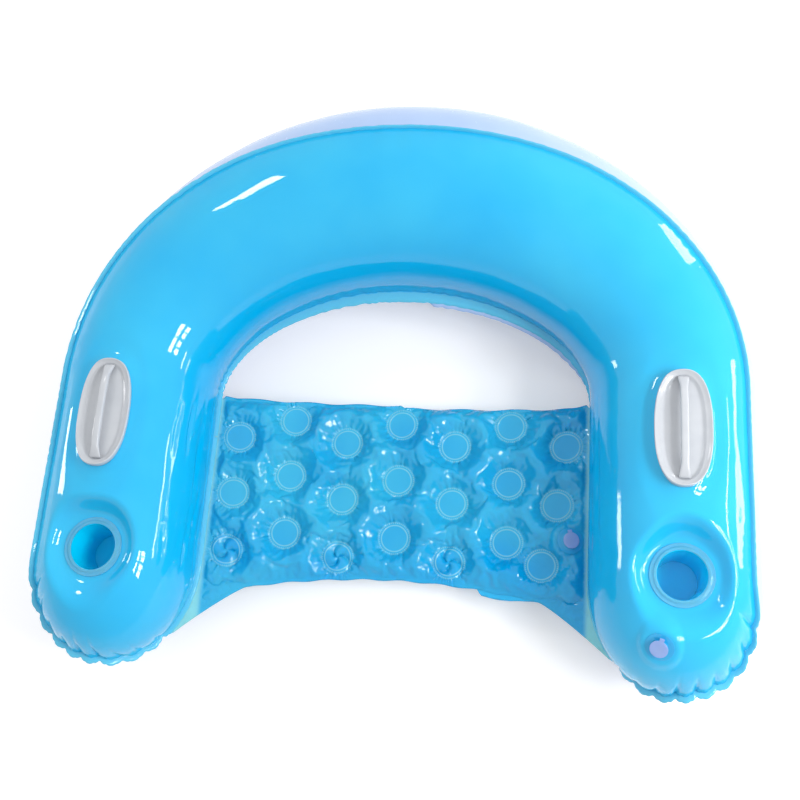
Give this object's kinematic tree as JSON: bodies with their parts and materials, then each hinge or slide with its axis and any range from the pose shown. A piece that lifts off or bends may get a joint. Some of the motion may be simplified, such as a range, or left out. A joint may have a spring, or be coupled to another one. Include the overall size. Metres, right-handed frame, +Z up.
{
  "type": "inflatable pool chair",
  "caption": "Inflatable U-shaped pool chair with a slung, dot-welded air seat, a cup holder and a grab handle in each arm, and push-in inflation valves.",
  "frame": {"origin": "middle of the footprint, on the ground under the air tube", "axes": "+Z up, +Y towards the backrest, so the open arms point to -Y, +X to the sitter's left"},
  "size_m": [1.2112, 1.0198, 0.333],
  "materials": {
    "blue_film": "translucent glossy blue vinyl film",
    "white_film": "glossy lavender-white vinyl film",
    "seat_film": "clear glossy blue vinyl film",
    "clear_vinyl": "soft translucent moulded vinyl",
    "grip_vinyl": "satin milky moulded vinyl"
  },
  "bodies": {
    "chair": {"tube_top_sheet": "blue_film", "tube_bottom_sheet": "white_film", "seat_top_film": "seat_film", "seat_bottom_film": "seat_film", "cup_ring_left": "clear_vinyl", "cup_ring_right": "clear_vinyl", "cup_wall_left": "blue_film", "cup_wall_right": "blue_film", "cup_floor_left": "blue_film", "cup_floor_right": "blue_film", "handle_left": "grip_vinyl", "handle_right": "grip_vinyl", "main_valve_flange": "clear_vinyl", "seat_valve_flange": "clear_vinyl"},
    "main_valve_neck": {"main_valve_neck": "clear_vinyl"},
    "main_valve_stopper": {"main_valve_stopper": "clear_vinyl"},
    "main_valve_flap": {"main_valve_flap": "clear_vinyl"},
    "seat_valve_neck": {"seat_valve_neck": "clear_vinyl"},
    "seat_valve_stopper": {"seat_valve_stopper": "clear_vinyl"},
    "seat_valve_flap": {"seat_valve_flap": "clear_vinyl"}
  },
  "joints": [
    {"name": "main_valve_pull", "type": "slide", "parent": "chair", "child": "main_valve_neck", "axis": [-0.2661, -0.5231, 0.8097], "range_m": [0, 0.0105]},
    {"name": "main_valve_stopper_hinge", "type": "hinge", "parent": "main_valve_neck", "child": "main_valve_stopper", "pos_m": [0.43752, -0.42349, 0.25493], "axis": [-0.9322, 0.3534, -0.078], "range_deg": [0, 150]},
    {"name": "main_valve_flap_hinge", "type": "hinge", "parent": "main_valve_neck", "child": "main_valve_flap", "pos_m": [0.44041, -0.42033, 0.23471], "axis": [0.9322, -0.3534, 0.078], "range_deg": [0, 40], "stiffness_Nm_per_rad": 0.0002, "springref_deg": -20},
    {"name": "seat_valve_pull", "type": "slide", "parent": "chair", "child": "seat_valve_neck", "axis": [0.2588, 0, 0.9659], "range_m": [0, 0.0105]},
    {"name": "seat_valve_stopper_hinge", "type": "hinge", "parent": "seat_valve_neck", "child": "seat_valve_stopper", "pos_m": [0.30353, -0.23872, 0.09453], "axis": [-0.9513, -0.1736, 0.2549], "range_deg": [0, 150]},
    {"name": "seat_valve_flap_hinge", "type": "hinge", "parent": "seat_valve_neck", "child": "seat_valve_flap", "pos_m": [0.30011, -0.24719, 0.07598], "axis": [0.9513, 0.1736, -0.2549], "range_deg": [0, 40], "stiffness_Nm_per_rad": 0.0002, "springref_deg": -20}
  ]
}
